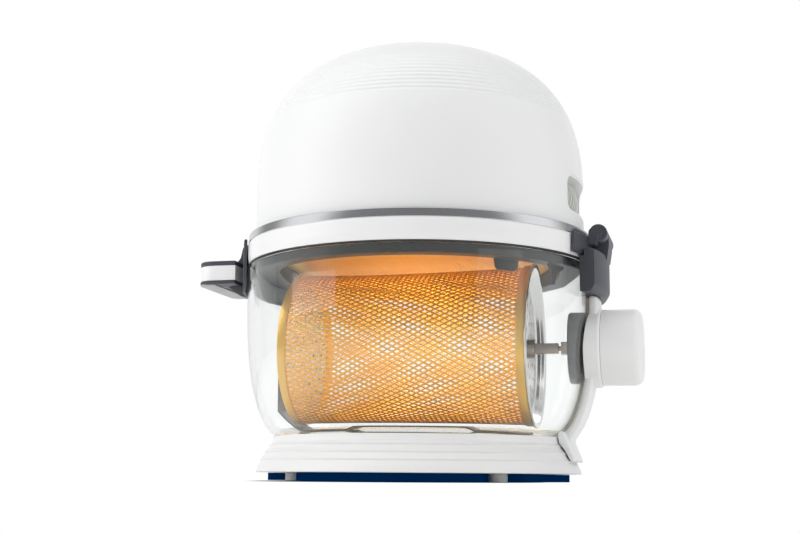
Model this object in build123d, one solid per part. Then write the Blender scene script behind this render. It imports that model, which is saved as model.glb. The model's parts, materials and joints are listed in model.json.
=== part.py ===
from build123d import *
import math
import os

# Glass air fryer: a glass bowl on a moulded base, a hinged head that holds the fan and heater,
# and a mesh drum that a side drive turns. Millimetres, Z up, floor at z = 0, bowl axis on Z.
# The grip is on the -X side, the drive, the hinge and the vent are on the +X side.

os.makedirs("parts", exist_ok=True)

# Driving dimensions
rim_radius = 130.0
rim_height = 157.2
bowl_wall = 4.5
bowl_floor = 26.0
head_height = 162.8
grip_reach = 36.0
head_top = rim_height + head_height
half_length = rim_radius + grip_reach
cut_low = -10.0
cut_high = head_top + 100.0
seam_gap = 0.3
bolt_gap = 0.1
pin_gap = 0.05

# Base
foot_height = 6.0
foot_radius = 6.5
foot_spacing_x = 144.0
foot_spacing_y = 146.0
foot_stem_radius = 3.0
base_inset = 9.7
base_top_inset = 22.5
base_lip = 6.0
base_radius = rim_radius - base_inset
base_top = bowl_floor + base_lip
base_top_radius = rim_radius - base_top_inset
base_bead = 4.5
base_bead_flare = 0.8
base_hem = 8.0
base_hem_flare = 3.6
base_wall = 3.0
base_groove = 0.9
base_groove_heights = (11.3, 16.8, 22.0)
deck_thickness = 3.0
seat_thickness = 0.6
seat_outer = 88.0
seat_inner = 70.0
plate_thickness = 2.5
plate_margin = 1.2
base_screw_inset = 32.0
base_screw_circle = rim_radius - base_screw_inset
screw_radius = 1.5
screw_head_radius = 3.2
screw_head_height = 1.6
boss_radius = 5.0
head_boss_radius = 6.0
gland_radius = 5.0
gland_bore = 3.2
gland_height = 15.5
gland_length = 12.0

# Arm and drive
drive_rise = 71.0
drive_height = bowl_floor + drive_rise
arm_gap = 1.2
arm_thickness = 6.0
arm_half_width = 17.5
pad_radius = 29.0
housing_radius = 27.5
housing_wall = 2.5
pad_face = rim_radius + arm_gap + arm_thickness + 0.2
neck_radius = 15.5
cover_radius = 26.0
cover_depth = 11.0
shaft_radius = 3.5
bush_radius = 6.0
socket_half = 4.5
socket_length = 5.5
key_reach = 3.0
motor_radius = 22.0
motor_length = 17.0
seal_radius = 20.5

# Hinge
knuckle_radius = 6.5
knuckle_gap = 1.0
pivot_x = rim_radius + knuckle_radius + knuckle_gap
pivot_rise = 19.8
pivot_z = rim_height + pivot_rise
knuckle_half = 14.0
hinge_half = 28.0
pin_radius = 2.5
bracket_low = rim_height - 24.0
bracket_high = rim_height + 6.8
bracket_half = 28.5
bracket_depth = 11.0
leaf_low = rim_height + 2.8
leaf_half = 42.0
leaf_thickness = 2.6
leaf_gap = 0.6

# Drum
drum_radius = 57.5
drum_wall = 0.9
drum_left = -(rim_radius - 38.0)
drum_right = rim_radius - 43.0
dish_depth = 7.5
dish_wall = 1.2
band_width = 6.0
band_wall = 0.8
disc_thickness = 1.2
disc_inset = 2.0
hole_radius = 2.0
hole_rings = ((20.0, 8), (34.0, 12), (46.0, 16))
flange_radius = 1.4
sleeve_half = 3.75
sleeve_length = 15.0
axle_radius = 1.75
key_half = 2.2
stub_radius = 3.5
stub_reach = 20.0
stub_collar = 6.0

# Drum stand
stand_thickness = 1.5
stand_half = 16.0
stand_x = -(rim_radius - 23.0)
stand_top = drive_height + 23.0
stand_foot_x = -(rim_radius - 42.0)
stand_tail_x = rim_radius - 46.0
stand_bend_z = bowl_floor + 24.0
stand_jog = 4.2
stand_pad = 36.0

# Head
collar_height = 16.8
collar_top = rim_height + collar_height
collar_wall = 7.5
gasket_height = 1.2
gasket_width = 4.5
trim_height = 7.0
trim_low_inset = 1.3
trim_high_inset = 4.8
trim_low_radius = rim_radius - trim_low_inset
trim_high_radius = rim_radius - trim_high_inset
shelf_inner = rim_radius - 20.0
shelf_height = 3.0
dome_inset = 6.0
dome_radius = rim_radius - dome_inset
dome_wall = 3.0
dome_straight = 54.4
dome_middle = rim_height + dome_straight
dome_crown = 5.6
dome_rise = head_top + dome_crown - dome_middle
dome_power = 2.575
cap_radius = 55.0
cap_thickness = 3.0
touch_radius = 44.0
touch_depth = 1.2
groove_count = 10
groove_drop = 53.0
groove_low = head_top - groove_drop
groove_pitch = 3.2
groove_depth = 0.8
groove_width = 1.3
vent_half_width = 31.0
vent_rise = 34.8
vent_height = 28.0
vent_low = rim_height + vent_rise
vent_high = vent_low + vent_height
vent_corner = 9.0
vent_slots = 7
vent_depth = 5.0
guard_opening = rim_radius - 25.0
guard_drop = 6.2
guard_rise = 7.8
guard_stand = 1.8
guard_lip_low = rim_height - guard_drop
guard_wall = 2.3
tab_angle = -43.0
leg_angle = -20.0
guard_clearance = 3.7
mesh_thickness = 1.0
mesh_slots = 30
chassis_thickness = 3.0
head_screw_inset = 14.0
head_screw_circle = rim_radius - head_screw_inset
head_screw_count = 6

# Air system
heater_outer = 82.0
heater_inner = 64.0
heater_tube = 3.2
heater_height = rim_height + 9.8
fan_radius = 52.0
fan_low = rim_height + 15.8
fan_height = 10.0
fan_blades = 9
shield_height = rim_height + 32.8
shield_thickness = 1.2
motor_plate_height = shield_height + 7.0
air_motor_radius = 29.0
air_motor_height = 42.0
cool_fan_height = motor_plate_height + air_motor_height + 9.0
cool_fan_radius = 46.0
air_shaft_radius = 3.0
board_height = head_top - 20.0
board_radius = 47.0

# Handle
handle_half = 40.0
handle_top = rim_height + 6.8
handle_thickness = 18.0
handle_low = handle_top - handle_thickness
handle_skin = 3.7
plate_wall = 2.4
handle_root = rim_radius + leaf_gap + plate_wall + 0.4
block_half = 24.0
block_reach = 13.6
plate_angle = 25.0
plate_low = rim_height - 19.2
plate_corner = 14.0
handle_corner = 13.0


def save(shape, node):
    """Write one sub-part."""
    export_step(shape, f"parts/{node}.step")


def spun(edges, arc=360.0):
    """Turn a closed outline of (radius, height) edges about Z, centred on +X."""
    face = Plane.XZ * make_face(edges)
    return Rot(0, 0, -arc / 2) * revolve(face, axis=Axis.Z, revolution_arc=arc)


def spun_points(points, arc=360.0):
    """Turn a straight-sided outline about Z."""
    return spun(Polyline(*points, close=True), arc)


def ring(outer, inner, low, high):
    """A flat-sided ring about Z."""
    body = Cylinder(outer, high - low) - Cylinder(inner, high - low)
    return Pos(0, 0, (low + high) / 2) * body


def disc(radius, low, high):
    """A round plate about Z."""
    return Pos(0, 0, (low + high) / 2) * Cylinder(radius, high - low)


def rod_x(radius, start, end, height=drive_height):
    """A cylinder along X at a height."""
    return Pos((start + end) / 2, 0, height) * Rot(0, 90, 0) * Cylinder(radius, end - start)


def rod_y(radius, start, end, x, z):
    """A cylinder along Y."""
    return Pos(x, (start + end) / 2, z) * Rot(90, 0, 0) * Cylinder(radius, end - start)


def block(x0, x1, y0, y1, z0, z1):
    """A box from its corners."""
    centre = Pos((x0 + x1) / 2, (y0 + y1) / 2, (z0 + z1) / 2)
    return centre * Box(x1 - x0, y1 - y0, z1 - z0)


def around(shape, count, start=0.0):
    """Copies of a shape spaced evenly about Z."""
    return [Rot(0, 0, start + 360.0 * i / count) * shape for i in range(count)]


def upright(radius, x, y, low, high):
    """A vertical cylinder at a place in plan."""
    return Pos(x, y, 0) * disc(radius, low, high)


def foot_places():
    """The four feet in plan."""
    return [(sx * foot_spacing_x / 2, sy * foot_spacing_y / 2) for sx in (-1, 1) for sy in (-1, 1)]


def bowl_body(offset):
    """The bowl's outer form, grown by an offset, closed across its rim."""
    wall_top = (rim_radius - 0.8 + offset, rim_height - 23.0)
    waist = (rim_radius - 2.6 + offset, bowl_floor + 64.2)
    shoulder = (rim_radius - 9.4 + offset, bowl_floor + 31.2)
    turn = (rim_radius - 22.9 + offset, bowl_floor + 9.0)
    floor = (rim_radius - 40.0, bowl_floor - offset)
    side = Spline(wall_top, waist, shoulder, turn, floor, tangents=((0, -1), (-1, 0)))
    rest = Polyline(floor, (0, floor[1]), (0, rim_height), (rim_radius + offset, rim_height), wall_top)
    return spun([side, *rest.edges()])


def base_outline():
    """Radius and height points of the skirt, top to bottom, with its three grooves."""
    slope = [(base_top, base_top_radius), (base_top - base_bead, base_top_radius + base_bead_flare),
             (foot_height + base_hem, base_radius - base_hem_flare), (foot_height, base_radius)]
    points = []
    for (z0, r0), (z1, r1) in zip(slope, slope[1:]):
        points.append((r0, z0))
        for z in sorted(base_groove_heights, reverse=True):
            if z1 < z < z0:
                r = r0 + (r1 - r0) * (z0 - z) / (z0 - z1)
                points += [(r, z + base_groove / 2), (r - base_groove, z), (r, z - base_groove / 2)]
    points.append((slope[-1][1], slope[-1][0]))
    return points


def make_base():
    """Skirt shell with its deck, bottom plate, feet, screws, seat ring and cord gland."""
    deck_top = bowl_floor - seat_thickness
    deck_low = deck_top - deck_thickness
    outer = ((base_radius, foot_height), (base_radius - base_hem_flare, foot_height + base_hem),
             (base_top_radius + 5.1, deck_low))
    inner = [(r - base_wall, z) for r, z in outer]
    cup = base_top_radius - base_wall
    outline = base_outline() + inner + [(0, deck_low), (0, deck_top), (cup, deck_top), (cup, base_top)]
    shell = spun_points(outline)
    plate_top = foot_height + plate_thickness
    boss = upright(boss_radius, base_screw_circle, 0, plate_top, deck_low + bolt_gap)
    hole = upright(screw_radius + bolt_gap, base_screw_circle, 0, plate_top, deck_low - 2)
    shell = shell + around(boss, 4) - around(hole, 4)
    gland_out = base_radius - 1.0
    gland_hole = Rot(0, 0, 90) * rod_x(gland_radius + bolt_gap, gland_out - 14, gland_out + 5, gland_height)
    save(shell - gland_hole, "base_shell")
    gland = rod_x(gland_radius, gland_out - gland_length, gland_out, gland_height)
    gland = gland - rod_x(gland_bore, gland_out - 2 * gland_length, gland_out + 5, gland_height)
    save(Rot(0, 0, 90) * gland, "cord_gland")
    plate = disc(base_radius - base_wall - plate_margin, foot_height, plate_top)
    through = upright(screw_radius + 3 * bolt_gap, base_screw_circle, 0, foot_height, plate_top)
    sunk = upright(screw_head_radius + seam_gap, base_screw_circle, 0, foot_height, foot_height + 1.8)
    plate = plate - around(through, 4) - around(sunk, 4)
    plate = plate - [upright(foot_stem_radius + bolt_gap, x, y, foot_height, plate_top) for x, y in foot_places()]
    save(plate, "base_plate")
    feet = []
    for x, y in foot_places():
        pad = fillet(disc(foot_radius, 0, foot_height).edges().group_by(Axis.Z)[0], 0.8)
        feet.append(Pos(x, y, 0) * (pad + disc(foot_stem_radius, foot_height, plate_top)))
    save(Compound(children=feet), "feet")
    head_low = foot_height + 1.8 - screw_head_height
    screw = upright(screw_head_radius, base_screw_circle, 0, head_low, foot_height + 1.8)
    screw = screw + upright(screw_radius, base_screw_circle, 0, foot_height + 1.8, deck_low - 3)
    save(Compound(children=around(screw, 4)), "base_screws")
    save(ring(seat_outer, seat_inner, deck_top, bowl_floor), "bowl_seat")


def make_bowl():
    """Glass bowl with the round hole that the drive passes through."""
    inside = Pos(0, 0, 0.01) * bowl_body(-bowl_wall)
    inside = inside + disc(rim_radius - bowl_wall, rim_height - 1, rim_height + 1)
    glass = bowl_body(0) - inside - rod_x(neck_radius + seam_gap, rim_radius - 30, half_length)
    save(glass, "bowl")


def make_arm():
    """Arm that hugs the bowl from the base to the hinge, with the round drive pad."""
    outer = bowl_body(arm_gap + arm_thickness)
    strap = outer & block(rim_radius - 40, half_length, -arm_half_width, arm_half_width, base_top + 3, bracket_low)
    hem = foot_height + base_hem + 0.2
    bead = base_top - base_bead
    skin = base_top_radius + 0.4
    skirt = [(base_radius - 5.7, base_top + 4.5), (base_radius - 3.8, bead + 0.5), (base_radius + 1.2, hem),
             (base_radius - base_hem_flare + 0.4, hem), (skin + base_bead_flare, bead), (skin, base_top + 0.3),
             (skin, base_top + 4.5)]
    foot = spun_points(skirt, 40.0)
    foot = foot & block(rim_radius - 40, half_length, -arm_half_width, arm_half_width, cut_low, cut_high)
    arm = strap + rod_x(pad_radius, pad_face - 14, pad_face) + foot
    arm = arm - bowl_body(arm_gap) - rod_x(neck_radius + seam_gap, rim_radius - 30, half_length)
    save(arm, "drive_arm")


def make_drive():
    """Cover disc, bush, seal, geared motor, housing and the turning shaft."""
    face = rim_radius - bowl_wall - cover_depth - 2.0
    cover = rod_x(cover_radius, face, rim_radius) & bowl_body(-bowl_wall - seam_gap)
    cover = cover + rod_x(neck_radius, face + 2, pad_face - 1)
    cover = cover - rod_x(bush_radius + bolt_gap, face - 1, pad_face)
    save(cover, "drive_cover")
    bush = rod_x(bush_radius, face, face + 14) - rod_x(shaft_radius + pin_gap, face - 1, face + 20)
    save(bush, "drive_bush")
    seal = rod_x(seal_radius, rim_radius - 20, half_length)
    seal = seal - rod_x(neck_radius + bolt_gap, rim_radius - 30, half_length + 1)
    seal = (seal & bowl_body(arm_gap - bolt_gap)) - bowl_body(bolt_gap)
    save(seal, "drive_seal")
    housing = rod_x(housing_radius, pad_face, half_length)
    housing = fillet(housing.edges().group_by(Axis.X)[-1], 5.0)
    housing = housing - rod_x(housing_radius - housing_wall, pad_face - 1, half_length - housing_wall)
    save(housing, "drive_housing")
    motor = rod_x(motor_radius, pad_face + 4, pad_face + 4 + motor_length)
    lug = block(pad_face, pad_face + 6, -3, 3, drive_height + 14, drive_height + 20)
    lug = lug + block(pad_face, pad_face + 6, -3, 3, drive_height - 20, drive_height - 14)
    motor = motor + lug - rod_x(shaft_radius + pin_gap, pad_face - 1, pad_face + 15)
    save(motor, "drive_motor")
    shaft = rod_x(shaft_radius, face - seam_gap, pad_face + 14)
    socket_end = face - seam_gap
    socket = block(socket_end - socket_length, socket_end, -socket_half, socket_half,
                   drive_height - socket_half, drive_height + socket_half)
    socket = fillet(socket.edges().filter_by(Axis.X), 0.8)
    key = key_half + seam_gap
    mouth = block(socket_end - socket_length - 1, socket_end - 2, -key, key, drive_height - key, drive_height + key)
    save(shaft + socket - mouth, "drive_shaft")
    return socket_end - socket_length


def make_hinge():
    """Fixed bracket with the middle knuckle, the pin and the lid's leaf with the outer knuckles."""
    inner = rim_radius + arm_gap
    step = rim_radius + leaf_gap + leaf_thickness + 1.2
    outer = inner + bracket_depth
    profile = [(inner, bracket_low), (outer - 3, bracket_low), (outer, bracket_low + 4), (outer, bracket_high - 3),
               (outer - 3, bracket_high), (step, bracket_high), (step, leaf_low - 1), (inner, leaf_low - 1)]
    bracket = spun_points(profile, 60.0) & block(rim_radius - 40, half_length, -bracket_half, bracket_half, cut_low, cut_high)
    neck = block(step, pivot_x + knuckle_radius, -knuckle_half, knuckle_half, bracket_high - 4, pivot_z)
    bracket = bracket + neck + rod_y(knuckle_radius, -knuckle_half, knuckle_half, pivot_x, pivot_z)
    bracket = bracket - rod_y(pin_radius + pin_gap, -hinge_half, hinge_half, pivot_x, pivot_z)
    save(bracket, "hinge_bracket")
    pin = rod_y(pin_radius, -hinge_half + 1, hinge_half - 1, pivot_x, pivot_z)
    save(pin, "hinge_pin")
    leaf_in = rim_radius + leaf_gap
    leaf = ring(leaf_in + leaf_thickness, leaf_in, leaf_low, pivot_z)
    leaf = leaf & block(rim_radius - 40, half_length, -leaf_half, leaf_half, cut_low, cut_high)
    gap_half = knuckle_half + seam_gap
    for side in (-1, 1):
        near, far = sorted((side * gap_half, side * hinge_half))
        knuckle = rod_y(knuckle_radius, near, far, pivot_x, pivot_z)
        web = block(leaf_in - 6, pivot_x, near, far, pivot_z - 7, pivot_z + knuckle_radius)
        leaf = leaf + (web - disc(leaf_in, cut_low, cut_high)) + knuckle
    leaf = leaf - rod_y(knuckle_radius + 2 * seam_gap, -gap_half, gap_half, pivot_x, pivot_z)
    leaf = leaf - rod_y(pin_radius + pin_gap, -hinge_half - 1, hinge_half + 1, pivot_x, pivot_z)
    save(leaf, "hinge_leaf")


def punched(first, last):
    """Rings of small round holes along X."""
    holes = []
    for radius, count in hole_rings:
        for i in range(count):
            hole = Pos(0, 0, radius) * Rot(0, 90, 0) * Cylinder(hole_radius, last - first)
            holes.append(Pos((first + last) / 2, 0, drive_height) * Rot(360.0 * i / count, 0, 0) * hole)
    return holes


def make_drum(socket_mouth):
    """Mesh wall, end bands, end discs, the left stub and the right axle."""
    wall = rod_x(drum_radius, drum_left + 1, drum_right - 1)
    wall = wall - rod_x(drum_radius - drum_wall, drum_left, drum_right)
    save(wall, "drum_mesh")
    band = drum_radius + bolt_gap / 2
    left = rod_x(band + band_wall, drum_left, drum_left + band_width)
    left = left - rod_x(band, drum_left - 1, drum_left + band_width + 1)
    save(left, "drum_band_left")
    right = rod_x(band + band_wall, drum_right - band_width, drum_right)
    right = right - rod_x(band, drum_right - band_width - 1, drum_right + 1)
    save(right, "drum_band_right")
    inside = drum_radius - drum_wall - bolt_gap
    plate = rod_x(inside, drum_left + disc_inset, drum_left + disc_inset + disc_thickness)
    stub = rod_x(stub_radius, drum_left - stub_reach, drum_left + disc_inset)
    collar = rod_x(stub_collar, drum_left - 9, drum_left + disc_inset)
    plate = plate - punched(drum_left, drum_left + 2 * disc_inset + disc_thickness)
    save(plate + stub + collar, "drum_end_left")
    edge = drum_radius + band_wall + flange_radius
    floor = drum_right - dish_depth
    lid = rod_x(edge, drum_right + 0.1, drum_right + 0.1 + dish_wall) + rod_x(inside, floor, drum_right + 0.2)
    lid = lid - rod_x(inside - dish_wall, floor + dish_wall, drum_right + 2 * dish_wall)
    rolled = Pos(drum_right + flange_radius + 0.1, 0, drive_height) * Rot(0, 90, 0) * Torus(edge, flange_radius)
    lid = lid + rolled - rod_x(sleeve_half * math.sqrt(2) + bolt_gap, floor - 1, floor + 5)
    save(lid - punched(floor - 1, floor + dish_wall + 1), "drum_end_right")
    start = floor - 3
    sleeve_end = drum_right + sleeve_length
    sleeve = block(start, sleeve_end, -sleeve_half, sleeve_half, drive_height - sleeve_half, drive_height + sleeve_half)
    sleeve = fillet(sleeve.edges().filter_by(Axis.X), 0.5)
    stop = rod_x(sleeve_half + 3, floor + dish_wall + 0.1, floor + dish_wall + 5)
    pin = rod_x(axle_radius, sleeve_end - 1, socket_mouth + 1)
    key = block(socket_mouth - 1, socket_mouth + key_reach, -key_half, key_half, drive_height - key_half,
                drive_height + key_half)
    save(sleeve + stop + pin + key, "drum_axle")


def make_stand():
    """Bent sheet on the bowl floor whose upright carries the left stub."""
    low = bowl_floor + bowl_wall + pin_gap + 0.02
    near_pad = stand_foot_x + stand_pad
    far_pad = stand_tail_x - stand_pad
    t = stand_thickness
    outer = [(stand_tail_x, low), (far_pad, low), (far_pad - stand_jog, low + stand_jog),
             (near_pad + stand_jog, low + stand_jog), (near_pad, low), (stand_foot_x, low),
             (stand_x, stand_bend_z), (stand_x, stand_top)]
    inner = [(stand_x + t, stand_top), (stand_x + t, stand_bend_z + 0.5), (stand_foot_x + 0.8, low + t),
             (near_pad - 0.6, low + t), (near_pad + stand_jog - 0.6, low + stand_jog + t),
             (far_pad - stand_jog + 0.6, low + stand_jog + t), (far_pad + 0.6, low + t), (stand_tail_x, low + t)]
    face = Plane.XZ * make_face(Polyline(*outer, *inner, close=True))
    stand = extrude(face, stand_half, both=True)
    notch = stub_radius + seam_gap
    slot = rod_x(notch, stand_x - 5, stand_x + 5)
    slot = slot + block(stand_x - 5, stand_x + 5, -notch, notch, drive_height, stand_top + 1)
    save(stand - slot, "drum_stand")


def dome_edge(z):
    """Outer radius of the dome at a height."""
    rise = max(0.0, (z - dome_middle) / dome_rise)
    return dome_radius * (1 - rise ** dome_power) ** (1 / dome_power)


def dome_outline(dome_low):
    """Outer edge of the dome, bottom to top, with its row of fine grooves."""
    lower = [(dome_edge(z), z) for z in (dome_low, dome_middle + 4, dome_middle + 28, groove_low - groove_width)]
    points = [Spline(*lower, tangents=((0, 1), (dome_edge(groove_low) - dome_edge(groove_low - 2), 2)))]
    last = lower[-1]
    for i in range(groove_count):
        z = groove_low + i * groove_pitch
        edge = (dome_edge(z - groove_width / 2), z - groove_width / 2)
        floor = (dome_edge(z) - groove_depth, z)
        lip = (dome_edge(z + groove_width / 2), z + groove_width / 2)
        points += [Line(last, edge), Line(edge, floor), Line(floor, lip)]
        last = lip
    upper = [(dome_edge(z), z) for z in (head_top - 17, head_top - 8, head_top - 3)]
    crown = (cap_radius, head_top)
    points += [Spline(last, *upper, crown)]
    return points, crown


def make_dome():
    """Dome shell with grooves, screw bosses and the vent opening, and the vent grille behind it."""
    low = collar_top + trim_height
    edges, crown = dome_outline(low)
    inner_low = (dome_edge(low) - dome_wall, low)
    inner = [(dome_edge(z) - dome_wall * 1.1, z) for z in (dome_middle + 28, head_top - 45, head_top - 22)]
    inner_top = (cap_radius + 8, head_top - dome_wall - 1.0)
    step = (cap_radius - 4, head_top - dome_wall - 1.0)
    edges += [Polyline(crown, (cap_radius, head_top - cap_thickness), (cap_radius - 4, head_top - cap_thickness),
                       step, inner_top)]
    edges += [Spline(inner_top, *reversed(inner), inner_low, tangents=((1, -0.1), (0, -1)))]
    edges += [Line(inner_low, (dome_edge(low), low))]
    shell = spun([e for part in edges for e in part.edges()])
    boss = upright(head_boss_radius, head_screw_circle, 0, low, low + 16)
    hole = upright(screw_radius + bolt_gap, head_screw_circle, 0, low - 1, low + 12)
    shell = shell + around(boss, head_screw_count, 30) - around(hole, head_screw_count, 30)
    height = vent_high - vent_low
    window = extrude(Plane.YZ * RectangleRounded(2 * vent_half_width, height, vent_corner), 60)
    middle = (vent_low + vent_high) / 2
    save(shell - Pos(dome_radius - 34, 0, middle) * window, "dome_shell")
    back = math.sqrt((dome_radius - dome_wall) ** 2 - (vent_half_width + 3) ** 2) - 0.5
    panel = Pos(back - 2, 0, middle) * Box(2, 2 * vent_half_width + 5, height + 5)
    pitch = 2 * vent_half_width / (vent_slots + 1)
    for i in range(vent_slots):
        y = (i - (vent_slots - 1) / 2) * pitch
        panel = panel - Pos(back - 2, y, middle + 4) * Box(6, pitch * 0.42, height * 0.45)
        rib = Pos(back - 1 + vent_depth / 2, y + pitch / 2, middle + 4) * Box(vent_depth, 1.6, height * 0.5)
        panel = panel + rib
    save(panel, "vent_grille")


def make_top():
    """Cap, touch panel and the board below it."""
    low = head_top - cap_thickness
    cap = disc(cap_radius - seam_gap, low, head_top) - disc(touch_radius, head_top - touch_depth, head_top + 1)
    post = upright(3.0, 34, 0, board_height + 1.6, low)
    save(cap + around(post, 4, 45), "top_cap")
    save(disc(touch_radius - bolt_gap, head_top - touch_depth, head_top), "touch_panel")
    save(disc(board_radius, board_height, board_height + 1.6), "control_board")


def make_collar():
    """Collar with its shelf, the bright trim ring, gasket, chassis ring and their screws."""
    low = rim_height + seam_gap + gasket_height
    inner = rim_radius - collar_wall - 0.5
    shelf_low = collar_top - shelf_height
    outline = [(rim_radius - 0.9, low), (rim_radius, low + 4), (rim_radius, collar_top - 2), (rim_radius - 0.8, collar_top),
               (shelf_inner, collar_top), (shelf_inner, shelf_low), (inner, shelf_low), (inner, low)]
    hole = upright(screw_radius + 3 * bolt_gap, head_screw_circle, 0, cut_low, cut_high)
    holes = around(hole, head_screw_count, 30)
    save(spun_points(outline) - holes, "head_collar")
    save(ring(rim_radius - 1.2, rim_radius - 1.2 - gasket_width, low - gasket_height, low), "lid_gasket")
    top = collar_top + trim_height
    trim_in = dome_radius - dome_wall
    trim = [(trim_low_radius, collar_top), (trim_low_radius - 0.6, collar_top + 3), (trim_high_radius, top),
            (trim_in, top), (trim_in, collar_top)]
    save(spun_points(trim), "trim_ring")
    chassis_top = collar_top + chassis_thickness
    save(ring(trim_in - seam_gap, shelf_inner - 6, collar_top, chassis_top) - holes, "chassis_ring")
    screw = upright(screw_head_radius, head_screw_circle, 0, shelf_low - screw_head_height, shelf_low)
    screw = screw + upright(screw_radius, head_screw_circle, 0, shelf_low, top + 10)
    save(Compound(children=around(screw, head_screw_count, 30)), "head_screws")
    wall = rim_radius - bowl_wall - guard_clearance
    guard = [(guard_opening, guard_lip_low), (wall, guard_lip_low), (wall, shelf_low), (wall - guard_wall, shelf_low),
             (wall - guard_wall, guard_lip_low + guard_wall), (guard_opening + guard_stand, guard_lip_low + guard_wall),
             (guard_opening + guard_stand, guard_lip_low + guard_rise), (guard_opening, guard_lip_low + guard_rise)]
    tab = spun_points([(guard_opening, guard_lip_low - 7), (guard_opening + 1.6, guard_lip_low - 7),
                       (guard_opening + 1.6, guard_lip_low + 1), (guard_opening, guard_lip_low + 1)], 10.0)
    leg = spun_points([(wall - 6, guard_lip_low - 5), (wall - 4.4, guard_lip_low - 5), (wall - 4.4, guard_lip_low + 1),
                       (wall - 6, guard_lip_low + 1)], 12.0)
    toe = spun_points([(wall - 6, guard_lip_low - 12), (wall - 4.4, guard_lip_low - 12), (wall - 4.4, guard_lip_low - 4),
                       (wall - 6, guard_lip_low - 4)], 3.6)
    tabs = [Rot(0, 0, tab_angle) * tab, Rot(0, 0, leg_angle) * leg, Rot(0, 0, leg_angle - 4) * toe]
    save(spun_points(guard) + tabs, "guard_ring")
    lip = guard_lip_low + guard_rise
    net = disc(guard_opening + 5, lip, lip + mesh_thickness)
    slot = block(26, guard_opening - 8, -2.4, 2.4, lip - 1, lip + 3)
    save(net - around(slot, mesh_slots), "air_guard")


def make_heater():
    """One hairpin tube: out along the outer loop, back along the inner loop, with two leads up."""
    start, sweep_angle = 20.0, 320.0
    bend = 8.0

    def place(radius, angle, back=0.0, up=0.0):
        a = math.radians(angle)
        x = radius * math.cos(a) + back * math.sin(a)
        y = radius * math.sin(a) - back * math.cos(a)
        return (x, y, heater_height + up)

    def lead(radius):
        slant = bend * math.sin(math.radians(45))
        lift = bend - slant
        top = place(radius, start, bend, shield_height + 8 - heater_height)
        knee = place(radius, start, bend, bend)
        return top, knee, ThreePointArc(knee, place(radius, start, slant, lift), place(radius, start))

    out_top, out_knee, out_bend = lead(heater_outer)
    in_top, in_knee, in_bend = lead(heater_inner)
    middle = start + sweep_angle / 2
    end = start + sweep_angle
    half_gap = (heater_outer - heater_inner) / 2
    outer = ThreePointArc(place(heater_outer, start), place(heater_outer, middle), place(heater_outer, end))
    turn = ThreePointArc(place(heater_outer, end), place(heater_inner + half_gap, end, -half_gap), place(heater_inner, end))
    inner = ThreePointArc(place(heater_inner, end), place(heater_inner, middle), place(heater_inner, start))
    path = Wire([Line(out_top, out_knee).edge(), out_bend.edge(), outer.edge(), turn.edge(), inner.edge(),
                 in_bend.edge(), Line(in_knee, in_top).edge()])
    tube = sweep(Pos(*out_top) * Circle(heater_tube), path=path)
    save(tube, "heater_tube")
    return [place(heater_outer, start, bend), place(heater_inner, start, bend)]


def blade(inner, outer, low, height, lean):
    """One straight fan blade, leaning by an angle."""
    plate = Box(outer - inner, 1.2, height)
    return Pos((inner + outer) / 2, 0, low + height / 2) * Rot(lean, 0, 0) * plate


def make_air_system(leads):
    """Shield, motor, its plate and screws, and the fans on one shaft."""
    flat = 92.0
    chassis_top = collar_top + chassis_thickness
    rim = shelf_inner
    t = shield_thickness
    shield = [(air_shaft_radius + 2, shield_height), (air_shaft_radius + 2, shield_height + t), (flat, shield_height + t),
              (rim, chassis_top + 2 * t), (rim + 4, chassis_top + t), (rim + 4, chassis_top), (rim - 1, chassis_top),
              (flat - 1, shield_height)]
    holes = [upright(heater_tube + seam_gap, x, y, cut_low, cut_high) for x, y, z in leads]
    save(spun_points(shield) - holes, "heat_shield")
    plate = disc(46, motor_plate_height, motor_plate_height + 2) - disc(12, cut_low, cut_high)
    leg = upright(4.0, 40, 0, shield_height + t, motor_plate_height)
    hole = upright(screw_radius + 3 * bolt_gap, 22, 0, cut_low, cut_high)
    save(plate + around(leg, 4, 45) - around(hole, 4), "motor_plate")
    motor_low = motor_plate_height + 2
    motor = disc(air_motor_radius, motor_low, motor_low + air_motor_height)
    motor = fillet(motor.edges(), 3.0) - disc(air_shaft_radius + pin_gap, cut_low, cut_high)
    bore = upright(screw_radius + bolt_gap, 22, 0, motor_low - 1, motor_low + 8)
    save(motor - around(bore, 4), "air_motor")
    head = upright(screw_head_radius, 22, 0, motor_plate_height - screw_head_height, motor_plate_height)
    screw = head + upright(screw_radius, 22, 0, motor_plate_height, motor_low + 6)
    save(Compound(children=around(screw, 4)), "motor_screws")
    shaft = disc(air_shaft_radius, fan_low - 3, cool_fan_height + 14)
    save(shaft, "air_shaft")
    bore = disc(air_shaft_radius + pin_gap, cut_low, cut_high)
    hub = disc(9, fan_low, fan_low + fan_height) + disc(fan_radius, fan_low + fan_height - 1.2, fan_low + fan_height)
    hot = hub + around(blade(8, fan_radius, fan_low, fan_height, 0), fan_blades) - bore
    save(hot, "hot_fan")
    cool = disc(9, cool_fan_height, cool_fan_height + 10)
    cool = cool + around(blade(8, cool_fan_radius, cool_fan_height + 1, 8, 35), 7) - bore
    save(cool, "cooling_fan")


def grip_outline(low, high, inset=0.0):
    """The ear-shaped ledge between two heights, rounded in plan."""
    reach = half_length - inset
    ledge = block(-reach, -handle_root, -handle_half + inset, handle_half - inset, low, high)
    corners = ledge.edges().filter_by(Axis.Z).group_by(Axis.X)[0]
    return fillet(corners, handle_corner) - disc(handle_root, low - 1, high + 1)


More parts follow.
